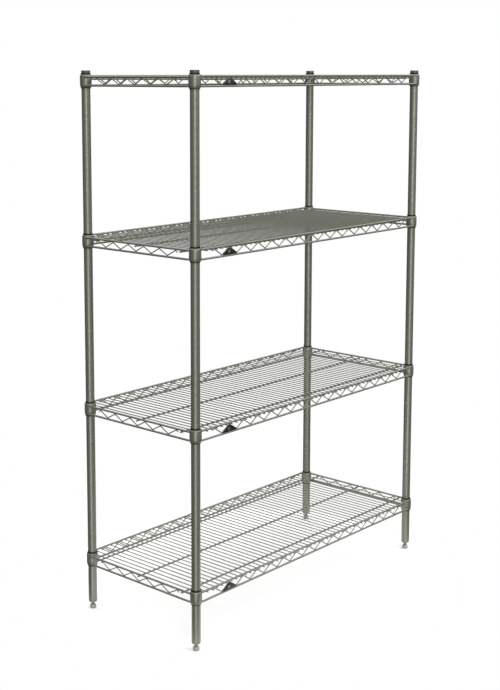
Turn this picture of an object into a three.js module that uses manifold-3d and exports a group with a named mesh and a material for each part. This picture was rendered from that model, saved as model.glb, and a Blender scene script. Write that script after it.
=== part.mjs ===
// Wire shelving rack: four tube posts carry four wire shelves on tapered plastic sleeves.
// Millimetres, +Z up. The origin is on the floor, midway between the four posts. X runs along the
// long sides and -Y is the front, where each shelf carries a small badge.
import * as THREE from "three";
import { mergeVertices } from "three/addons/utils/BufferGeometryUtils.js";
import Module from "manifold-3d";

const wasm = await Module();
wasm.setup();

// ---------------------------------------------------------------- driving dimensions
const LONG_CENTRES = 1032; // between post axes along X
const SHORT_CENTRES = 422; // between post axes along Y
const POST_RADIUS = 12.7; // a one-inch tube
const POST_WALL = 1.2;
const POST_BOTTOM = 20.5;
const POST_TOP = 1587.4;
const HEIGHT_STEP = 25.4; // shelves adjust in steps of one inch
const LOWEST_SHELF = 177.1; // height of the top of the lowest shelf's sleeves
const SHELF_STEPS = [55.5, 37.5, 18, 0]; // steps above the lowest shelf, top shelf first
const CLEARANCE = 0.3; // between pieces that touch
const SIDES = 12; // facets round every turned piece

// Sleeve and collar, with heights counted down from the top of the sleeve.
const SLEEVE_HEIGHT = 43.3;
const SLEEVE_TOP_RADIUS = 13.9;
const SLEEVE_BOTTOM_RADIUS = 14.5;
const SLEEVE_SLIT = 0.8;
const COLLAR_TOP = -5.2;
const COLLAR_BOTTOM = -40.7;
const COLLAR_RADIUS = 16.7;
const COLLAR_SHOULDER = 4.5; // height over which the collar's upper end rounds in
const COLLAR_TAPER = 8.5; // height over which its lower end narrows

// Shelf wires, with heights counted from the top of the sleeve too.
const ROD = 6; // perimeter rods
const WIRE = 3; // deck wires and zigzag
const RIB = 5; // rods under the deck wires
const TRUSS_DEPTH = 4;
const ROD_OFFSET = 13.8; // from the post axes out to the perimeter rods
const SIDE_TOP_ROD = -8.7;
const END_TOP_ROD = -11.5;
const BOTTOM_ROD = -35.5;
const WIRE_PITCH = 20.23;
const WIRE_COUNT = 51;
const WIRE_STRIDE = 3; // every third deck wire is solid here
const RIB_SPACING = 171.3;
const ZIGZAG_PITCH = 3 * WIRE_PITCH;
const SIDE_BAYS = 15; // V's in the zigzag of a long side
const END_BAYS = 5;

// ---------------------------------------------------------------- materials
const satinPaint = { color: 0x77786c, roughness: 0.42, metalness: 0.6 };
const blackPlastic = { color: 0x161715, roughness: 0.5, metalness: 0 };
const greyPlastic = { color: 0x4a4b4c, roughness: 0.5, metalness: 0 };
const zincSteel = { color: 0x9a9b95, roughness: 0.38, metalness: 0.8 };

const rack = new THREE.Group();

function add(name, geometry, finish, x = 0, y = 0, z = 0) {
  const mesh = new THREE.Mesh(geometry, new THREE.MeshStandardMaterial(finish));
  mesh.name = name;
  mesh.position.set(x, y, z);
  rack.add(mesh);
}

// ---------------------------------------------------------------- joining and cutting
function toSolid(geometry) {
  const bare = geometry.clone();
  bare.deleteAttribute("normal");
  bare.deleteAttribute("uv");
  const merged = mergeVertices(bare, 1e-4);
  return new wasm.Manifold(
    new wasm.Mesh({
      numProp: 3,
      vertProperties: merged.attributes.position.array,
      triVerts: new Uint32Array(merged.index.array),
    }),
  );
}

function toGeometry(solid) {
  const mesh = solid.getMesh();
  const geometry = new THREE.BufferGeometry();
  geometry.setAttribute("position", new THREE.BufferAttribute(mesh.vertProperties, 3));
  geometry.setIndex(new THREE.BufferAttribute(mesh.triVerts, 1));
  return geometry;
}

function join(geometries) {
  const solids = geometries.map(toSolid);
  return toGeometry(solids.reduce((sum, solid) => sum.add(solid)));
}

// ---------------------------------------------------------------- basic shapes
// A ring or a plug turned about Z. The profile's [radius, height] pairs run anticlockwise.
function turned(profile) {
  const points = profile.map(([radius, height]) => new THREE.Vector2(radius, height));
  const closed = profile[0][0] === 0 ? points : [...points, points[0]];
  return new THREE.LatheGeometry(closed, SIDES).rotateX(Math.PI / 2);
}

function box(width, depth, height, x, y, z) {
  return new THREE.BoxGeometry(width, depth, height).translate(x, y, z);
}

// Extrudes an outline drawn in the XZ plane, centred on y = 0.
function plate(corners, depth) {
  const outline = new THREE.Shape(corners.map(([x, z]) => new THREE.Vector2(x, z)));
  const geometry = new THREE.ExtrudeGeometry(outline, { depth, bevelEnabled: false });
  return geometry.translate(0, 0, -depth / 2).rotateX(Math.PI / 2);
}

// A truss in the XZ plane. Its two rods run from -reach to reach. A zigzag wire between them makes
// one V in each bay, and both its ends are under the top rod. The windows are cut from a bar.
function truss(reach, topRod, bays) {
  const high = topRod - ROD / 2;
  const low = BOTTOM_ROD + ROD / 2;
  const rise = high - low;
  const run = ZIGZAG_PITCH / 2;
  const wireHalf = (WIRE / 2 / rise) * Math.hypot(rise, run); // half the wire's width along the rods
  const tip = (wireHalf * rise) / run; // height that the wire fills at a bend
  const last = (bays * ZIGZAG_PITCH) / 2;
  const first = -last;
  const end = reach + 1;
  const windows = [
    [
      [-end, low],
      [first + run - wireHalf, low],
      [first - wireHalf, high],
      [-end, high],
    ],
    [
      [last - run + wireHalf, low],
      [end, low],
      [end, high],
      [last + wireHalf, high],
    ],
  ];
  for (let bay = 0; bay < bays; bay++) {
    const top = first + bay * ZIGZAG_PITCH;
    const bend = top + run;
    windows.push([
      [bend, low + tip],
      [top + ZIGZAG_PITCH - wireHalf, high],
      [top + wireHalf, high],
    ]);
    if (bay === 0) continue;
    windows.push([
      [bend - ZIGZAG_PITCH + wireHalf, low],
      [bend - wireHalf, low],
      [top, high - tip],
    ]);
  }
  const height = topRod - BOTTOM_ROD + ROD;
  const blank = box(2 * reach, TRUSS_DEPTH, height, 0, 0, (topRod + BOTTOM_ROD) / 2);
  const cutters = windows.map((corners) => toSolid(plate(corners, 2 * TRUSS_DEPTH)));
  return toGeometry(cutters.reduce((left, cutter) => left.subtract(cutter), toSolid(blank)));
}

// ---------------------------------------------------------------- sub-parts
// A tube whose lower end rolls in under the threaded insert.
function post() {
  const bore = POST_RADIUS - POST_WALL;
  return turned([
    [9.2, POST_BOTTOM],
    [10.4, POST_BOTTOM],
    [12.0, POST_BOTTOM + 1.1],
    [POST_RADIUS, POST_BOTTOM + 3],
    [POST_RADIUS, POST_TOP],
    [bore, POST_TOP],
    [bore, POST_BOTTOM + 3.5],
    [9.2, POST_BOTTOM + 1.2],
  ]);
}

const CAP_RADIUS = 13;
const CAP_HEIGHT = 6.5; // above the post

// A plug with a thick rim that covers the top of the tube.
function postCap() {
  const plug = POST_RADIUS - POST_WALL - CLEARANCE;
  const under = POST_TOP + CLEARANCE;
  const top = POST_TOP + CAP_HEIGHT;
  return turned([
    [0, under - 10],
    [plug, under - 10],
    [plug, under],
    [CAP_RADIUS, under],
    [CAP_RADIUS, top - 1.2],
    [CAP_RADIUS - 0.8, top],
    [0, top],
  ]);
}

const STUD_RADIUS = 4.8;
const STUD_TOP = 60;
const INSERT_BOTTOM = POST_BOTTOM + 3.8;
const INSERT_TOP = INSERT_BOTTOM + 20;

// A nut pressed into the lower end of the tube.
function threadedInsert() {
  const outer = POST_RADIUS - POST_WALL - CLEARANCE;
  const bore = STUD_RADIUS + CLEARANCE;
  return turned([
    [bore, INSERT_BOTTOM],
    [outer, INSERT_BOTTOM],
    [outer, INSERT_TOP],
    [bore, INSERT_TOP],
  ]);
}

// A round foot with a domed top on a threaded stud.
function levelingFoot() {
  return turned([
    [0, 0],
    [7.6, 0],
    [9.3, 1.8],
    [9.3, 8.4],
    [7.6, 11],
    [STUD_RADIUS, 12.6],
    [STUD_RADIUS, STUD_TOP],
    [0, STUD_TOP],
  ]);
}

// A tapered sleeve: two half shells that close round the post on a thin hinge strip.
// The slit between the free edges faces +Y when side is 1 and -Y when it is -1.
function sleeve(side) {
  const bore = POST_RADIUS + CLEARANCE;
  const ring = turned([
    [bore, -SLEEVE_HEIGHT],
    [SLEEVE_BOTTOM_RADIUS, -SLEEVE_HEIGHT],
    [SLEEVE_TOP_RADIUS, 0],
    [bore, 0],
  ]);
  const slit = box(SLEEVE_SLIT, 4, 60, 0, side * (POST_RADIUS + 1), -SLEEVE_HEIGHT / 2);
  return toGeometry(toSolid(ring).subtract(toSolid(slit)));
}

// A steel collar that wedges down over the sleeve.
function collar(y) {
  const taper = CLEARANCE + 0.02;
  const ring = turned([
    [SLEEVE_BOTTOM_RADIUS + taper, COLLAR_BOTTOM],
    [SLEEVE_BOTTOM_RADIUS + 0.9, COLLAR_BOTTOM],
    [COLLAR_RADIUS, COLLAR_BOTTOM + COLLAR_TAPER],
    [COLLAR_RADIUS, COLLAR_TOP - COLLAR_SHOULDER],
    [SLEEVE_TOP_RADIUS + 1.3, COLLAR_TOP],
    [SLEEVE_TOP_RADIUS + taper, COLLAR_TOP],
  ]);
  return ring.translate(0, y, 0);
}

// The truss along a long side. It stops just short of the collars.
function sideTruss() {
  const reach = LONG_CENTRES / 2 - 12.5;
  return truss(reach, SIDE_TOP_ROD, SIDE_BAYS);
}

// The truss along a short side, welded to its two collars. The collars' axes are on x = 0 and
// the truss stands outside them, at -X when side is -1 and at +X when it is 1.
function endFrame(side) {
  const reach = SHORT_CENTRES / 2 - 9.6;
  const wires = truss(reach, END_TOP_ROD, END_BAYS);
  wires.rotateZ(Math.PI / 2).translate(side * ROD_OFFSET, 0, 0);
  return join([wires, collar(-SHORT_CENTRES / 2), collar(SHORT_CENTRES / 2)]);
}

const WIRE_LEVEL = SIDE_TOP_ROD - ROD / 2 - CLEARANCE - WIRE / 2;
const WELD = 0.2; // how deep the deck wires sink into the ribs
const WIRE_END = 1.2; // how far the deck wires end outside the perimeter rods
const RIB_END = 1.5;
const RIB_LEVEL = WIRE_LEVEL - WIRE / 2 - RIB / 2 + WELD;

// Deck wires from front to back, welded on top of three long ribs.
function deck() {
  const wireLength = SHORT_CENTRES + 2 * ROD_OFFSET + ROD + 2 * WIRE_END;
  const ribLength = LONG_CENTRES + 2 * ROD_OFFSET + ROD + 2 * RIB_END;
  const pieces = [-1, 0, 1].map((row) =>
    box(ribLength, RIB, RIB, 0, row * RIB_SPACING, RIB_LEVEL),
  );
  for (let i = 1; i < WIRE_COUNT; i += WIRE_STRIDE) {
    const x = (i - (WIRE_COUNT - 1) / 2) * WIRE_PITCH;
    pieces.push(box(WIRE, wireLength, WIRE, x, 0, WIRE_LEVEL));
  }
  return join(pieces);
}

// A blank badge: a front plate over one standing triangle of the zigzag, with a plug in it.
function badge() {
  const apex = (1 - SIDE_BAYS / 2) * ZIGZAG_PITCH;
  const floor = BOTTOM_ROD + ROD / 2 + CLEARANCE;
  const frontFace = -(SHORT_CENTRES / 2 + ROD_OFFSET + ROD / 2 + 0.6);
  const trussFace = -(SHORT_CENTRES / 2 + ROD_OFFSET + TRUSS_DEPTH / 2);
  const plateDepth = trussFace - CLEARANCE - frontFace;
  const front = [
    [apex - 28, floor],
    [apex + 28, floor],
    [apex + 28, floor + 3.5],
    [apex + 4, floor + 19.5],
    [apex - 4, floor + 19.5],
    [apex - 28, floor + 3.5],
  ];
  const plug = [
    [apex - 20, floor],
    [apex + 20, floor],
    [apex, floor + 12],
  ];
  const face = plate(front, plateDepth).translate(0, frontFace + plateDepth / 2, 0);
  const pegDepth = 3;
  const peg = plate(plug, pegDepth).translate(0, frontFace + plateDepth - 0.2 + pegDepth / 2, 0);
  return join([face, peg]);
}

// ---------------------------------------------------------------- assembly
const corners = [
  { name: "front_left", x: -LONG_CENTRES / 2, y: -SHORT_CENTRES / 2 },
  { name: "front_right", x: LONG_CENTRES / 2, y: -SHORT_CENTRES / 2 },
  { name: "rear_left", x: -LONG_CENTRES / 2, y: SHORT_CENTRES / 2 },
  { name: "rear_right", x: LONG_CENTRES / 2, y: SHORT_CENTRES / 2 },
];

for (const { name, x, y } of corners) {
  add(`post_${name}`, post(), satinPaint, x, y);
  add(`post_cap_${name}`, postCap(), greyPlastic, x, y);
  add(`threaded_insert_${name}`, threadedInsert(), zincSteel, x, y);
  add(`leveling_foot_${name}`, levelingFoot(), zincSteel, x, y);
}

SHELF_STEPS.forEach((steps, index) => {
  const shelf = `shelf_${index + 1}`;
  const z = LOWEST_SHELF + steps * HEIGHT_STEP;
  const sideY = SHORT_CENTRES / 2 + ROD_OFFSET;
  add(`${shelf}_deck`, deck(), satinPaint, 0, 0, z);
  add(`${shelf}_front_truss`, sideTruss(), satinPaint, 0, -sideY, z);
  add(`${shelf}_rear_truss`, sideTruss(), satinPaint, 0, sideY, z);
  add(`${shelf}_left_end`, endFrame(-1), satinPaint, -LONG_CENTRES / 2, 0, z);
  add(`${shelf}_right_end`, endFrame(1), satinPaint, LONG_CENTRES / 2, 0, z);
  add(`${shelf}_badge`, badge(), blackPlastic, 0, 0, z);
  for (const { name, x, y } of corners) {
    add(`${shelf}_sleeve_${name}`, sleeve(-Math.sign(y)), blackPlastic, x, y, z);
  }
});

export default rack;
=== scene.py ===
"""Looks of the wire shelving rack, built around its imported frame. Metres, +Z up, and -Y is the front."""
import math

import bmesh
import bpy
from mathutils import Euler, Matrix, Vector


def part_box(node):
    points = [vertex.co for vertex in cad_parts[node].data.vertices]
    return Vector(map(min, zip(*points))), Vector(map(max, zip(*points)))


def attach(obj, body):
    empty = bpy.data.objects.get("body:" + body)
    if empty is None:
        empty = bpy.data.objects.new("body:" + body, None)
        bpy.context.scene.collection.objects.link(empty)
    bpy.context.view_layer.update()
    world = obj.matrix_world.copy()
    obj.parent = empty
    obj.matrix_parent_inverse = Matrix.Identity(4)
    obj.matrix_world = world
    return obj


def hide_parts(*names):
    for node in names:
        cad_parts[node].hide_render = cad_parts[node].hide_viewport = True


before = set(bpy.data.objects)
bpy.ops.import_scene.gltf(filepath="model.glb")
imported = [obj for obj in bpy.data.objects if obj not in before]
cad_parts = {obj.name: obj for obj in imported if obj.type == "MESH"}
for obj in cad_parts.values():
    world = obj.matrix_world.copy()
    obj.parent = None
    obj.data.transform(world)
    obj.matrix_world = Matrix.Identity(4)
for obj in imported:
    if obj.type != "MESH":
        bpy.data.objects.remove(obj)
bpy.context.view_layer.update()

MM = 0.001
CORNERS = ("front_left", "front_right", "rear_left", "rear_right")
SHELVES = (1, 2, 3, 4)


def middle(node):
    low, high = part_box(node)
    return (low + high) / 2


# ---------------------------------------------------------------- places and sizes taken from the frame
POST_LOW, POST_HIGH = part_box("post_front_left")
POST_RADIUS = (POST_HIGH.x - POST_LOW.x) / 2
POST_BOTTOM = POST_LOW.z
POST_TOP = POST_HIGH.z
POST_AXIS = {corner: middle(f"post_{corner}").to_2d() for corner in CORNERS}
LEFT_X = POST_AXIS["front_left"].x
FRONT_Y = POST_AXIS["front_left"].y
LONG_CENTRES = POST_AXIS["front_right"].x - LEFT_X
SHORT_CENTRES = POST_AXIS["rear_left"].y - FRONT_Y

LEVEL = {n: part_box(f"shelf_{n}_sleeve_front_left")[1].z for n in SHELVES}  # tops of the sleeves
TRUSS_LOW, TRUSS_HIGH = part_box("shelf_4_front_truss")
END_LOW, END_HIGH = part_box("shelf_4_left_end")
SLEEVE_LOW, SLEEVE_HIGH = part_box("shelf_4_sleeve_front_left")

# ---------------------------------------------------------------- sizes of the wires
ROD = 6.0 * MM
WIRE = 3.0 * MM
ZIGZAG = 3.3 * MM
RIB = 5.0 * MM
SINK = 0.35 * MM  # how far crossing wires are welded into each other
ROD_OFFSET = FRONT_Y - (TRUSS_LOW.y + TRUSS_HIGH.y) / 2  # from the post axes out to the rods
SIDE_TOP_ROD = TRUSS_HIGH.z - ROD / 2 - LEVEL[4]
BOTTOM_ROD = TRUSS_LOW.z + ROD / 2 - LEVEL[4]
END_TOP_ROD = SIDE_TOP_ROD - 2.8 * MM
WIRE_PITCH = 20.23 * MM
WIRE_COUNT = 51
RIB_SPACING = 171.3 * MM
ZIGZAG_PITCH = 3 * WIRE_PITCH
ZIGZAG_BEND = 3.2 * MM
SIDE_BAYS = 15  # V's in the zigzag of a long side
END_BAYS = 5
ZIGZAG_TAIL = 9 * MM  # each end of the zigzag wire turns down this far past its last weld
COLLAR_TOP = END_HIGH.z - LEVEL[4]
COLLAR_BOTTOM = END_LOW.z - LEVEL[4]
COLLAR_RADIUS = (END_HIGH.y - END_LOW.y - SHORT_CENTRES) / 2
COLLAR_SHOULDER = 4.5 * MM  # height over which the collar's upper end rounds in
COLLAR_TAPER = 8.5 * MM  # height over which its lower end narrows
SLEEVE_TOP_RADIUS = 13.9 * MM
SLEEVE_BOTTOM_RADIUS = (SLEEVE_HIGH.x - SLEEVE_LOW.x) / 2
SLEEVE_BOTTOM = SLEEVE_LOW.z - LEVEL[4]
ROD_JOINT = 9.5 * MM  # the rods end beside the collars, this far short of the post axes
WIRE_JOINT = 14 * MM  # the outermost deck wires end this far short of the post axes
GROOVE_PITCH = 25.4 * MM
GROOVE_DEPTH = 0.03 * MM  # very shallow, so that the rings hardly show
GROOVE_HALF = 0.5 * MM  # half the width of a groove
LOWEST_GROOVE = LEVEL[4] + 12.7 * MM - 5 * GROOVE_PITCH
STUD_RADIUS = 4.8 * MM
THREAD_PITCH = 1.5 * MM
THREAD_DEPTH = 0.55 * MM


# ---------------------------------------------------------------- materials
def new_material(name, colour, metallic, roughness):
    """A Principled material whose nodes are returned with it, for the parts below to add to."""
    material = bpy.data.materials.new(name)
    material.use_nodes = True
    tree = material.node_tree
    shader = tree.nodes["Principled BSDF"]
    shader.inputs["Base Color"].default_value = (*colour, 1)
    shader.inputs["Metallic"].default_value = metallic
    shader.inputs["Roughness"].default_value = roughness
    return material, tree, shader


def noise(tree, scale, detail=3.0):
    """Object-space noise with its Fac from 0 to 1."""
    place = tree.nodes.new("ShaderNodeTexCoord")
    node = tree.nodes.new("ShaderNodeTexNoise")
    node.inputs["Scale"].default_value = scale
    node.inputs["Detail"].default_value = detail
    tree.links.new(place.outputs["Object"], node.inputs["Vector"])
    return node.outputs["Fac"]


def spread(tree, value, low, high, start=0.3, end=0.7):
    """Maps value from start..end to low..high."""
    node = tree.nodes.new("ShaderNodeMapRange")
    node.inputs["From Min"].default_value = start
    node.inputs["From Max"].default_value = end
    node.inputs["To Min"].default_value = low
    node.inputs["To Max"].default_value = high
    tree.links.new(value, node.inputs["Value"])
    return node.outputs["Result"]


def blend_colours(tree, value, dark, light):
    node = tree.nodes.new("ShaderNodeMix")
    node.data_type = "RGBA"
    node.inputs["A"].default_value = (*dark, 1)
    node.inputs["B"].default_value = (*light, 1)
    tree.links.new(value, node.inputs["Factor"])
    return node.outputs["Result"]


def bump(tree, shader, height, distance):
    node = tree.nodes.new("ShaderNodeBump")
    node.inputs["Strength"].default_value = 1.0
    node.inputs["Distance"].default_value = distance
    tree.links.new(height, node.inputs["Height"])
    tree.links.new(node.outputs["Normal"], shader.inputs["Normal"])


def satin_paint():
    """Grey-olive metallic coating: slightly uneven in tone and sheen, with fine orange peel."""
    material, tree, shader = new_material("satin_paint", (0.205, 0.21, 0.172), 0.58, 0.41)
    tone = spread(tree, noise(tree, 300), 0, 1)
    colour = blend_colours(tree, tone, (0.211, 0.216, 0.176), (0.219, 0.224, 0.184))
    tree.links.new(colour, shader.inputs["Base Color"])
    sheen = spread(tree, noise(tree, 700), 0.39, 0.43)
    tree.links.new(sheen, shader.inputs["Roughness"])
    bump(tree, shader, noise(tree, 1500), 0.000015)
    return material


def black_plastic():
    """Moulded black plastic with a fine matt grain."""
    material, tree, shader = new_material("black_plastic", (0.009, 0.009, 0.009), 0, 0.45)
    tone = spread(tree, noise(tree, 90), 0, 1)
    colour = blend_colours(tree, tone, (0.008, 0.008, 0.008), (0.011, 0.011, 0.011))
    tree.links.new(colour, shader.inputs["Base Color"])
    sheen = spread(tree, noise(tree, 400), 0.42, 0.55)
    tree.links.new(sheen, shader.inputs["Roughness"])
    bump(tree, shader, noise(tree, 1800), 0.00008)
    return material


def grey_plastic():
    """Moulded dark grey plastic with a soft sheen; part of its grey is painted sheen, a base colour raised
    well above the black plastic's to stand in for the highlight on the caps.
    """
    # The base colour holds painted sheen on top of the plastic's own dark grey: it is lifted to make the
    # caps read as brightly as their highlight.
    material, tree, shader = new_material("grey_plastic", (0.065, 0.067, 0.07), 0, 0.4)
    tone = spread(tree, noise(tree, 90), 0, 1)
    colour = blend_colours(tree, tone, (0.062, 0.064, 0.067), (0.068, 0.07, 0.073))
    tree.links.new(colour, shader.inputs["Base Color"])
    sheen = spread(tree, noise(tree, 400), 0.35, 0.45)
    tree.links.new(sheen, shader.inputs["Roughness"])
    bump(tree, shader, noise(tree, 1800), 0.00005)
    return material


def zinc_steel():
    """Bright zinc plate with faint mottling."""
    material, tree, shader = new_material("zinc_steel", (0.31, 0.31, 0.29), 0.8, 0.35)
    tone = spread(tree, noise(tree, 250), 0, 1)
    colour = blend_colours(tree, tone, (0.28, 0.28, 0.265), (0.34, 0.34, 0.32))
    tree.links.new(colour, shader.inputs["Base Color"])
    sheen = spread(tree, noise(tree, 500), 0.28, 0.45)
    tree.links.new(sheen, shader.inputs["Roughness"])
    bump(tree, shader, noise(tree, 1500), 0.00006)
    return material


MATERIALS = {
    "satin_paint": satin_paint(),
    "black_plastic": black_plastic(),
    "grey_plastic": grey_plastic(),
    "zinc_steel": zinc_steel(),
}


# ---------------------------------------------------------------- mesh building
BEAD_TILTS = (-70, -35, 0, 35, 70)  # latitudes of the rings of a weld bead, in degrees


class Shape:
    """Points and faces gathered into one mesh."""

    def __init__(self):
        self.points = []
        self.faces = []

    def loft(self, rings, loop=False):
        """Joins rings of equal length. loop joins the last ring to the first; otherwise both ends close."""
        base = len(self.points)
        count = len(rings[0])
        for ring in rings:
            self.points.extend(ring)
        steps = len(rings) if loop else len(rings) - 1
        for row in range(steps):
            here = base + row * count
            there = base + (row + 1) % len(rings) * count
            for i in range(count):
                j = (i + 1) % count
                self.faces.append((here + i, here + j, there + j, there + i))
        if not loop:
            last = base + (len(rings) - 1) * count
            self.faces.append(tuple(base + i for i in range(count))[::-1])
            self.faces.append(tuple(last + i for i in range(count)))

    def lathe(self, profile, axis=(0, 0), z=0, segments=48, loop=False):
        """Turns [radius, height] pairs round a vertical axis."""
        rings = []
        for radius, height in profile:
            rings.append([
                Vector((
                    axis[0] + radius * math.cos(turn),
                    axis[1] + radius * math.sin(turn),
                    z + height,
                ))
                for turn in (2 * math.pi * i / segments for i in range(segments))
            ])
        self.loft(rings, loop)

    def tube(self, path, radius, across, sides=12):
        """A round bar along a path that lies in the plane square to across. Its ends are chamfered."""
        across = Vector(across).normalized()
        path = [Vector(point) for point in path]
        inset = 0.35 * radius
        start = (path[1] - path[0]).normalized()
        end = (path[-1] - path[-2]).normalized()
        centres = [path[0], path[0] + start * inset, *path[1:-1], path[-1] - end * inset, path[-1]]
        sizes = [0.65 * radius, *[radius] * (len(centres) - 2), 0.65 * radius]
        rings = []
        for i, centre in enumerate(centres):
            before = centres[max(i - 1, 0)]
            after = centres[min(i + 1, len(centres) - 1)]
            aside = (after - before).normalized().cross(across)
            rings.append([
                centre + sizes[i] * (math.cos(turn) * across + math.sin(turn) * aside)
                for turn in (2 * math.pi * (k + 0.5) / sides for k in range(sides))
            ])
        self.loft(rings)

    def bead(self, centre, size, segments=8):
        """A small rounded lump of weld, size across in X, Y and Z."""
        rings = []
        for tilt in BEAD_TILTS:
            lift = math.sin(math.radians(tilt))
            reach = math.cos(math.radians(tilt))
            rings.append([
                Vector((
                    centre[0] + size[0] / 2 * reach * math.cos(turn),
                    centre[1] + size[1] / 2 * reach * math.sin(turn),
                    centre[2] + size[2] / 2 * lift,
                ))
                for turn in (2 * math.pi * i / segments for i in range(segments))
            ])
        self.loft(rings)

    def prism(self, outline, near, far, bevel):
        """An outline in the XZ plane between two depths, with its near edge bevelled."""
        centre = sum((Vector(point) for point in outline), Vector((0, 0))) / len(outline)
        inner = [Vector(point) - (Vector(point) - centre).normalized() * bevel for point in outline]
        between = [a.lerp(b, 0.7) for a, b in zip(inner, map(Vector, outline))]
        self.loft([
            [Vector((x, near, z)) for x, z in inner],
            [Vector((x, near + bevel * 0.3, z)) for x, z in between],
            [Vector((x, near + bevel, z)) for x, z in outline],
            [Vector((x, far, z)) for x, z in outline],
        ])

    def piece(self, name, material, body, *nodes, sharp=38):
        """Makes the mesh an object that rides on a body and stands for CAD nodes."""
        mesh = bpy.data.meshes.new(name)
        mesh.from_pydata(self.points, [], self.faces)
        work = bmesh.new()
        work.from_mesh(mesh)
        bmesh.ops.recalc_face_normals(work, faces=work.faces)
        work.to_mesh(mesh)
        work.free()
        mesh.shade_smooth()
        mesh.set_sharp_from_angle(angle=math.radians(sharp))
        mesh.materials.append(MATERIALS[material])
        obj = bpy.data.objects.new(name, mesh)
        bpy.context.scene.collection.objects.link(obj)
        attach(obj, body)
        if nodes:
            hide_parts(*nodes)
        return obj


def arc(centre, radius, start, end, steps):
    """Points of a circular arc, as pairs, with its angles in degrees."""
    return [
        (
            centre[0] + radius * math.cos(math.radians(start + (end - start) * i / steps)),
            centre[1] + radius * math.sin(math.radians(start + (end - start) * i / steps)),
        )
        for i in range(steps + 1)
    ]


# ---------------------------------------------------------------- posts, caps, inserts and feet
def post_profile():
    """A closed profile: rolled-in lower end, grooved outside, plain bore."""
    roll = 2.6 * MM
    wall = 1.2 * MM
    mouth = 9.2 * MM
    outside = arc((POST_RADIUS - roll, POST_BOTTOM + roll), roll, -90, 0, 6)
    height = LOWEST_GROOVE
    while height < POST_TOP - 2 * GROOVE_HALF:
        for step in range(-3, 4):
            depth = GROOVE_DEPTH * (1 + math.cos(math.pi * step / 3)) / 2
            outside.append((POST_RADIUS - depth, height + GROOVE_HALF * step / 3))
        height += GROOVE_PITCH
    bore = POST_RADIUS - wall
    rim = 0.3 * MM
    return [
        (mouth, POST_BOTTOM + 0.3 * MM),
        (9.6 * MM, POST_BOTTOM),
        *outside,
        (POST_RADIUS, POST_TOP - rim),
        (POST_RADIUS - rim, POST_TOP),
        (bore + rim, POST_TOP),
        (bore, POST_TOP - rim),
        (bore, POST_BOTTOM + roll + wall),
        (mouth, POST_BOTTOM + wall),
    ]


def build_post(corner):
    shape = Shape()
    shape.lathe(post_profile(), POST_AXIS[corner], segments=48, loop=True)
    shape.piece(f"post_tube_{corner}", "satin_paint", "frame", f"post_{corner}")


def build_cap(corner):
    """A plug with three gripping ribs under a thick rounded rim, and a shallow dish in its top."""
    low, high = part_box(f"post_cap_{corner}")
    rim = (high.x - low.x) / 2
    plug = POST_RADIUS - 1.6 * MM
    under = POST_TOP + 0.3 * MM
    profile = [(plug - 2 * MM, low.z)]
    profile.append((plug - 0.6 * MM, low.z + 1 * MM))
    for rib in range(3):
        base = low.z + (2 + 2.6 * rib) * MM
        profile += [(plug - 0.4 * MM, base), (plug, base + 0.6 * MM), (plug, base + 1.1 * MM)]
    profile += [(plug - 0.4 * MM, under - 0.2 * MM), (plug - 0.2 * MM, under)]
    profile += [(rim - 0.4 * MM, under), (rim, under + 0.4 * MM)]
    profile += arc((rim - 1.1 * MM, high.z - 1.1 * MM), 1.1 * MM, 0, 90, 5)
    profile += [(rim - 3.2 * MM, high.z), (rim - 4.2 * MM, high.z - 0.35 * MM), (2 * MM, high.z - 0.45 * MM)]
    shape = Shape()
    shape.lathe(profile, POST_AXIS[corner])
    # The caps take the grey plastic, whose lighter colour is partly painted sheen.
    shape.piece(f"cap_{corner}", "grey_plastic", "frame", f"post_cap_{corner}")


def build_insert(corner):
    """A steel nut with a chamfered bore and two knurled bands that grip the tube."""
    low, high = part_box(f"threaded_insert_{corner}")
    outer = (high.x - low.x) / 2
    bore = STUD_RADIUS + 0.3 * MM
    chamfer = 0.8 * MM
    profile = [
        (bore, low.z + chamfer),
        (bore + chamfer, low.z),
        (outer - chamfer, low.z),
        (outer, low.z + chamfer),
    ]
    for band in range(2):
        base = low.z + (4 + 9 * band) * MM
        for ridge in range(4):
            profile.append((outer - 0.25 * MM, base + ridge * 1.2 * MM))
            profile.append((outer, base + (ridge * 1.2 + 0.6) * MM))
    profile += [
        (outer, high.z - chamfer),
        (outer - chamfer, high.z),
        (bore + chamfer, high.z),
        (bore, high.z - chamfer),
    ]
    shape = Shape()
    shape.lathe(profile, POST_AXIS[corner], loop=True)
    shape.piece(f"insert_{corner}", "zinc_steel", "frame", f"threaded_insert_{corner}")


def threaded_stud(shape, axis, bottom, top):
    """A stud with a helical thread between two plain ends."""
    segments = 32
    rows_a_turn = 8
    rows = round((top - bottom) / THREAD_PITCH * rows_a_turn)
    rings = []
    for row in range(rows + 1):
        height = bottom + (top - bottom) * row / rows
        fade = min(1, (height - bottom) / THREAD_PITCH, (top - height) / THREAD_PITCH)
        ring = []
        for i in range(segments):
            phase = (height / THREAD_PITCH - i / segments) % 1
            depth = THREAD_DEPTH * abs(2 * phase - 1) * fade
            radius = STUD_RADIUS - depth - 0.4 * MM * (1 - fade)
            turn = 2 * math.pi * i / segments
            ring.append(Vector((
                axis[0] + radius * math.cos(turn),
                axis[1] + radius * math.sin(turn),
                height,
            )))
        rings.append(ring)
    shape.loft(rings)


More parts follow.
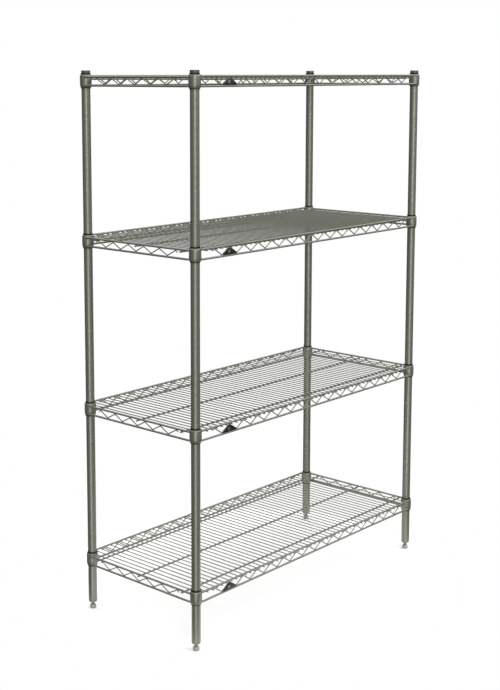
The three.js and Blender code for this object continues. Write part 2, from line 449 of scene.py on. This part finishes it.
def build_foot(corner):
    """A hexagonal foot with rounded edges on a threaded stud."""
    low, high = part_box(f"leveling_foot_{corner}")
    axis = POST_AXIS[corner]
    across = (high.x - low.x) / 2
    segments = 60
    rings = []
    # Each level is a height in mm, the largest radius there as a share of the foot's, and how far
    # the hexagon's flats are cut in.
    levels = (
        (0.0, 0.78, 0.0),
        (0.3, 0.83, 0.0),
        (1.0, 0.93, 0.3),
        (2.0, 0.99, 0.7),
        (3.5, 1.0, 1.0),
        (7.0, 1.0, 1.0),
        (8.4, 0.99, 0.7),
        (9.6, 0.93, 0.3),
        (10.8, 0.83, 0.0),
        (11.7, 0.70, 0.0),
        (12.4, 0.58, 0.0),
    )
    for level, reach, flats in levels:
        ring = []
        for i in range(segments):
            turn = 2 * math.pi * i / segments
            from_flat = (turn + math.pi / 6) % (math.pi / 3) - math.pi / 6
            flat = 0.9 / math.cos(from_flat)
            radius = across * min(reach, flat * flats + reach * (1 - flats))
            ring.append(Vector((
                axis.x + radius * math.cos(turn),
                axis.y + radius * math.sin(turn),
                level * MM,
            )))
        rings.append(ring)
    shape = Shape()
    shape.loft(rings)
    threaded_stud(shape, axis, levels[-2][0] * MM, high.z)
    shape.piece(f"foot_{corner}", "zinc_steel", f"foot_{corner}", f"leveling_foot_{corner}", sharp=30)


# ---------------------------------------------------------------- sleeves
def half_sleeve(shape, axis, level, start):
    """Half of a tapered sleeve, from start round to start + 180 degrees, less a slit at each end."""
    bore = POST_RADIUS + 0.15 * MM
    lip = 0.9 * MM
    ridge = -12.7 * MM  # the inner ridge meets a groove of the post at shelves 3 and 4 only
    profile = [
        (bore, SLEEVE_BOTTOM + 0.3 * MM),
        (bore + 0.3 * MM, SLEEVE_BOTTOM),
        (SLEEVE_BOTTOM_RADIUS - 0.3 * MM, SLEEVE_BOTTOM),
        (SLEEVE_BOTTOM_RADIUS, SLEEVE_BOTTOM + 0.3 * MM),
        (SLEEVE_BOTTOM_RADIUS, SLEEVE_BOTTOM + lip),
        (SLEEVE_BOTTOM_RADIUS - 0.15 * MM, SLEEVE_BOTTOM + lip + 0.3 * MM),
        (SLEEVE_TOP_RADIUS, -lip - 0.3 * MM),
        (SLEEVE_TOP_RADIUS + 0.1 * MM, -lip),
        (SLEEVE_TOP_RADIUS + 0.1 * MM, -0.3 * MM),
        (SLEEVE_TOP_RADIUS - 0.2 * MM, 0),
        (bore + 0.3 * MM, 0),
        (bore, -0.3 * MM),
        (bore, ridge + 1.2 * MM),
        (bore - 0.25 * MM, ridge + 0.4 * MM),
        (bore - 0.25 * MM, ridge - 0.4 * MM),
        (bore, ridge - 1.2 * MM),
    ]
    slit = math.degrees(0.4 * MM / bore)
    steps = 20
    rings = []
    for i in range(steps + 1):
        turn = math.radians(start + slit + (180 - 2 * slit) * i / steps)
        rings.append([
            Vector((axis[0] + r * math.cos(turn), axis[1] + r * math.sin(turn), level + h))
            for r, h in profile
        ])
    shape.loft(rings)


def build_sleeve(n, corner):
    shape = Shape()
    for start in (90, 270):
        half_sleeve(shape, POST_AXIS[corner], LEVEL[n], start)
    name = f"shelf_{n}_sleeve_{corner}"
    shape.piece(f"shelf_{n}_sleeve_halves_{corner}", "black_plastic", f"shelf_{n}_sleeves", name)


# ---------------------------------------------------------------- shelves
def zigzag_path(bays, top, bottom, bend):
    """Pairs [distance from the middle, height] of a zigzag wire with rounded bends and short tails."""
    run = ZIGZAG_PITCH / 2
    slope = math.atan2(top - bottom, run)
    overshoot = bend * (1 / math.cos(slope) - 1)  # sharp corners lie this far outside the bends
    high = top + overshoot
    low = bottom - overshoot
    slope = math.degrees(math.atan2(high - low, run))
    drop = bend / math.cos(math.radians(slope))
    reach = bays * run
    tail = Vector((math.cos(math.radians(slope)), -math.sin(math.radians(slope)))) * ZIGZAG_TAIL
    path = [(-reach - tail.x, high + tail.y)]
    for step in range(2 * bays + 1):
        along = step * run - reach
        if step % 2:
            path += arc((along, low + drop), bend, -90 - slope, -90 + slope, 6)
        else:
            path += arc((along, high - drop), bend, 90 + slope, 90 - slope, 6)
    path.append((reach + tail.x, high + tail.y))
    return path


def truss(shape, place, across, reach, top_rod, bays):
    """Two rods and a zigzag wire. place turns [distance from the middle, height] into a point."""
    for height in (top_rod, BOTTOM_ROD):
        shape.tube([place(-reach, height), place(reach, height)], ROD / 2, across, 16)
    top = top_rod - ROD / 2 - ZIGZAG / 2 + SINK
    bottom = BOTTOM_ROD + ROD / 2 + ZIGZAG / 2 - SINK
    path = zigzag_path(bays, top, bottom, ZIGZAG_BEND)
    shape.tube([place(along, height) for along, height in path], ZIGZAG / 2, across, 10)
    weld = (3.6 * MM, 3.6 * MM, 1.6 * MM)
    for step in range(2 * bays + 1):
        along = (step - bays) * ZIGZAG_PITCH / 2
        height = BOTTOM_ROD + ROD / 2 if step % 2 else top_rod - ROD / 2
        shape.bead(place(along, height), weld)


def build_side(n, side):
    """The truss along a long side: side is front or rear."""
    y = middle(f"shelf_{n}_{side}_truss").y
    shape = Shape()

    def place(along, height):
        return Vector((along, y, LEVEL[n] + height))

    truss(shape, place, (0, 1, 0), LONG_CENTRES / 2 - ROD_JOINT, SIDE_TOP_ROD, SIDE_BAYS)
    shape.piece(f"shelf_{n}_{side}_wires", "satin_paint", f"shelf_{n}", f"shelf_{n}_{side}_truss")


def collar(shape, axis, level):
    """A steel collar, tapered inside to wedge on the sleeve, with a round shoulder and a conical foot."""
    gap = 0.3 * MM
    bore_top = SLEEVE_TOP_RADIUS + gap
    bore_bottom = SLEEVE_BOTTOM_RADIUS + gap
    lip_top = bore_top + 0.8 * MM
    lip_bottom = bore_bottom + 0.3 * MM
    crest = COLLAR_TOP - COLLAR_SHOULDER
    outside = [
        (lip_bottom, COLLAR_BOTTOM),
        (lip_bottom + 0.3 * MM, COLLAR_BOTTOM + 0.3 * MM),
        (COLLAR_RADIUS - 0.2 * MM, COLLAR_BOTTOM + COLLAR_TAPER - 1.5 * MM),
        (COLLAR_RADIUS, COLLAR_BOTTOM + COLLAR_TAPER),
    ]
    for step in range(7):
        turn = math.pi / 2 * step / 6
        outside.append((
            lip_top + (COLLAR_RADIUS - lip_top) * math.cos(turn),
            crest + COLLAR_SHOULDER * math.sin(turn),
        ))
    profile = [(bore_bottom, COLLAR_BOTTOM), *outside, (bore_top, COLLAR_TOP)]
    shape.lathe(profile, axis, level, 48, loop=True)


def build_end(n, side):
    """The truss along a short side with its two collars: side is left or right."""
    sign = -1 if side == "left" else 1
    axis_x = POST_AXIS[f"front_{side}"].x
    x = axis_x + sign * ROD_OFFSET
    shape = Shape()

    def place(along, height):
        return Vector((x, along, LEVEL[n] + height))

    truss(shape, place, (1, 0, 0), SHORT_CENTRES / 2 - ROD_JOINT, END_TOP_ROD, END_BAYS)
    for row in ("front", "rear"):
        collar(shape, POST_AXIS[f"{row}_{side}"], LEVEL[n])
    shape.piece(f"shelf_{n}_{side}_wires", "satin_paint", f"shelf_{n}", f"shelf_{n}_{side}_end")


def build_deck(n):
    """Deck wires from front to back on three long ribs, with a weld at every crossing."""
    low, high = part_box(f"shelf_{n}_deck")
    wire_z = high.z - WIRE / 2
    rib_z = low.z + RIB / 2
    rib_weld = (3.4 * MM, 5.0 * MM, 1.2 * MM)
    rod_weld = (3.2 * MM, 4.2 * MM, 1.2 * MM)
    shape = Shape()
    rows = [row * RIB_SPACING for row in (-1, 0, 1)]
    for y in rows:
        shape.tube([(low.x, y, rib_z), (high.x, y, rib_z)], RIB / 2, (0, 1, 0), 14)
    for i in range(WIRE_COUNT):
        x = (i - (WIRE_COUNT - 1) / 2) * WIRE_PITCH
        outermost = i in (0, WIRE_COUNT - 1)
        reach = SHORT_CENTRES / 2 - WIRE_JOINT if outermost else high.y
        shape.tube([(x, -reach, wire_z), (x, reach, wire_z)], WIRE / 2, (1, 0, 0), 12)
        for y in rows:
            shape.bead((x, y, wire_z - WIRE / 2), rib_weld)
        if not outermost:
            for sign in (-1, 1):
                side_y = sign * (SHORT_CENTRES / 2 + ROD_OFFSET)
                shape.bead((x, side_y, wire_z + WIRE / 2), rod_weld)
    shape.piece(f"shelf_{n}_deck_wires", "satin_paint", f"shelf_{n}", f"shelf_{n}_deck")


def build_badge(n):
    """A black plate over one standing triangle of the zigzag, with a small blank emblem let into it."""
    low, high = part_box(f"shelf_{n}_badge")
    centre = (low.x + high.x) / 2
    half = (high.x - low.x) / 2
    tall = high.z - low.z
    rise = 3.5 * MM
    tip = 3.8 * MM
    nick = 1 * MM
    outline = [
        (centre - half + nick, low.z),
        (centre + half - nick, low.z),
        (centre + half, low.z + nick),
        (centre + half, low.z + rise),
        (centre + tip, high.z - nick),
        (centre, high.z),
        (centre - tip, high.z - nick),
        (centre - half, low.z + rise),
        (centre - half, low.z + nick),
    ]
    plate = Shape()
    plate.prism(outline, low.y, low.y + 2.2 * MM, 0.5 * MM)
    plug = [(centre - 20 * MM, low.z), (centre + 20 * MM, low.z), (centre, low.z + 0.6 * tall)]
    plate.prism(plug, low.y + 2 * MM, high.y, 0.3 * MM)
    plate.piece(f"shelf_{n}_blank_badge", "black_plastic", f"shelf_{n}", f"shelf_{n}_badge")
    middle_x = centre - 4 * MM
    middle_z = low.z + 7.4 * MM
    half_width = 5 * MM
    half_height = 4.4 * MM
    sides = 24
    oval = [
        (middle_x + half_width * math.cos(turn), middle_z + half_height * math.sin(turn))
        for turn in (2 * math.pi * i / sides for i in range(sides))
    ]
    emblem = Shape()
    emblem.prism(oval, low.y - 0.25 * MM, low.y + 1 * MM, 0.2 * MM)
    emblem.piece(f"shelf_{n}_blank_emblem", "satin_paint", f"shelf_{n}")


for corner in CORNERS:
    build_post(corner)
    build_cap(corner)
    build_insert(corner)
    build_foot(corner)
for n in SHELVES:
    build_deck(n)
    build_badge(n)
    for side in ("front", "rear"):
        build_side(n, side)
    for side in ("left", "right"):
        build_end(n, side)
    for corner in CORNERS:
        build_sleeve(n, corner)


# ---------------------------------------------------------------- floor, light and camera
FLOOR_RADIUS = 0.62
FLOOR_SIDES = 96
LAMP_AIM = (0, 0, 1.4)


def pale_floor():
    """A round white floor a little wider than the rack, so that it lights the lower wires only softly."""
    corners = [
        (FLOOR_RADIUS * math.cos(turn), FLOOR_RADIUS * math.sin(turn), 0)
        for turn in (2 * math.pi * i / FLOOR_SIDES for i in range(FLOOR_SIDES))
    ]
    mesh = bpy.data.meshes.new("floor")
    mesh.from_pydata(corners, [], [tuple(range(FLOOR_SIDES))])
    material, tree, shader = new_material("pale_floor", (0.9, 0.9, 0.9), 0, 0.9)
    tone = spread(tree, noise(tree, 3), 0, 1)
    colour = blend_colours(tree, tone, (0.89, 0.89, 0.89), (0.91, 0.91, 0.91))
    tree.links.new(colour, shader.inputs["Base Color"])
    mesh.materials.append(material)
    floor = bpy.data.objects.new("floor", mesh)
    bpy.context.scene.collection.objects.link(floor)


def sun(name, heading, height, strength, softness):
    """A broad soft light. heading, height and softness are in degrees, heading from +Y towards +X as
    seen from the rack."""
    light = bpy.data.lights.new(name, "SUN")
    light.energy = strength
    light.angle = math.radians(softness)
    obj = bpy.data.objects.new(name, light)
    obj.rotation_euler = (math.radians(90 - height), 0, math.radians(180 - heading))
    bpy.context.scene.collection.objects.link(obj)


def softbox(name, heading, distance, height, size, power):
    """A square lamp that faces a point near the top of the rack's middle line."""
    light = bpy.data.lights.new(name, "AREA")
    light.size = size
    light.energy = power
    obj = bpy.data.objects.new(name, light)
    turn = math.radians(heading)
    obj.location = (distance * math.sin(turn), distance * math.cos(turn), height)
    aim = Vector(LAMP_AIM) - obj.location
    obj.rotation_euler = aim.to_track_quat("-Z", "Y").to_euler()
    bpy.context.scene.collection.objects.link(obj)


def studio_world():
    """White behind the rack, lighting it with a soft glow from above that dims towards the horizon."""
    world = bpy.data.worlds.new("studio")
    world.use_nodes = True
    tree = world.node_tree
    tree.nodes.clear()
    place = tree.nodes.new("ShaderNodeTexCoord")
    parts = tree.nodes.new("ShaderNodeSeparateXYZ")
    tree.links.new(place.outputs["Generated"], parts.inputs["Vector"])
    glow = tree.nodes.new("ShaderNodeBackground")
    glow.inputs["Color"].default_value = (1, 1, 1, 1)
    overhead = spread(tree, parts.outputs["Z"], 0.05, 1.88, 0.1, 0.95)
    tree.links.new(overhead, glow.inputs["Strength"])
    white = tree.nodes.new("ShaderNodeBackground")
    white.inputs["Color"].default_value = (1, 1, 1, 1)
    white.inputs["Strength"].default_value = 1.0
    path = tree.nodes.new("ShaderNodeLightPath")
    mix = tree.nodes.new("ShaderNodeMixShader")
    tree.links.new(path.outputs["Is Camera Ray"], mix.inputs["Fac"])
    tree.links.new(glow.outputs["Background"], mix.inputs[1])
    tree.links.new(white.outputs["Background"], mix.inputs[2])
    output = tree.nodes.new("ShaderNodeOutputWorld")
    tree.links.new(mix.outputs["Shader"], output.inputs["Surface"])
    bpy.context.scene.world = world


CAMERA_PLACE = (-2.9469, -2.4806, 1.5814)
CAMERA_LENS = 65.93  # focal length in millimetres
CAMERA_SHIFT = (0.0602, -0.1523)
CAMERA_HEADING = 47.578  # degrees from +Y towards +X
CAMERA_DIP = 7.451  # degrees below the horizontal
CAMERA_ROLL = -0.083  # degrees anticlockwise, as seen from behind the camera


def camera():
    lens = bpy.data.cameras.new("camera")
    lens.lens = CAMERA_LENS
    lens.shift_x, lens.shift_y = CAMERA_SHIFT
    lens.clip_end = 100
    obj = bpy.data.objects.new("camera", lens)
    obj.location = CAMERA_PLACE
    aim = Euler((math.radians(90 - CAMERA_DIP), 0, math.radians(-CAMERA_HEADING))).to_matrix()
    roll = Matrix.Rotation(math.radians(CAMERA_ROLL), 3, "Z")
    obj.rotation_euler = (aim @ roll).to_euler()
    bpy.context.scene.collection.objects.link(obj)
    bpy.context.scene.camera = obj


pale_floor()
studio_world()
towards_camera = CAMERA_HEADING + 180
sun("key", towards_camera - 12, height=10, strength=1.05, softness=22)
sun("bounce", towards_camera + 3, height=-20, strength=0.65, softness=22)
sun("rim", towards_camera - 115, height=30, strength=0.5, softness=40)
softbox("fill", towards_camera - 60, distance=2.2, height=2.6, size=0.9, power=22)
camera()
bpy.context.scene.view_settings.view_transform = "Standard"
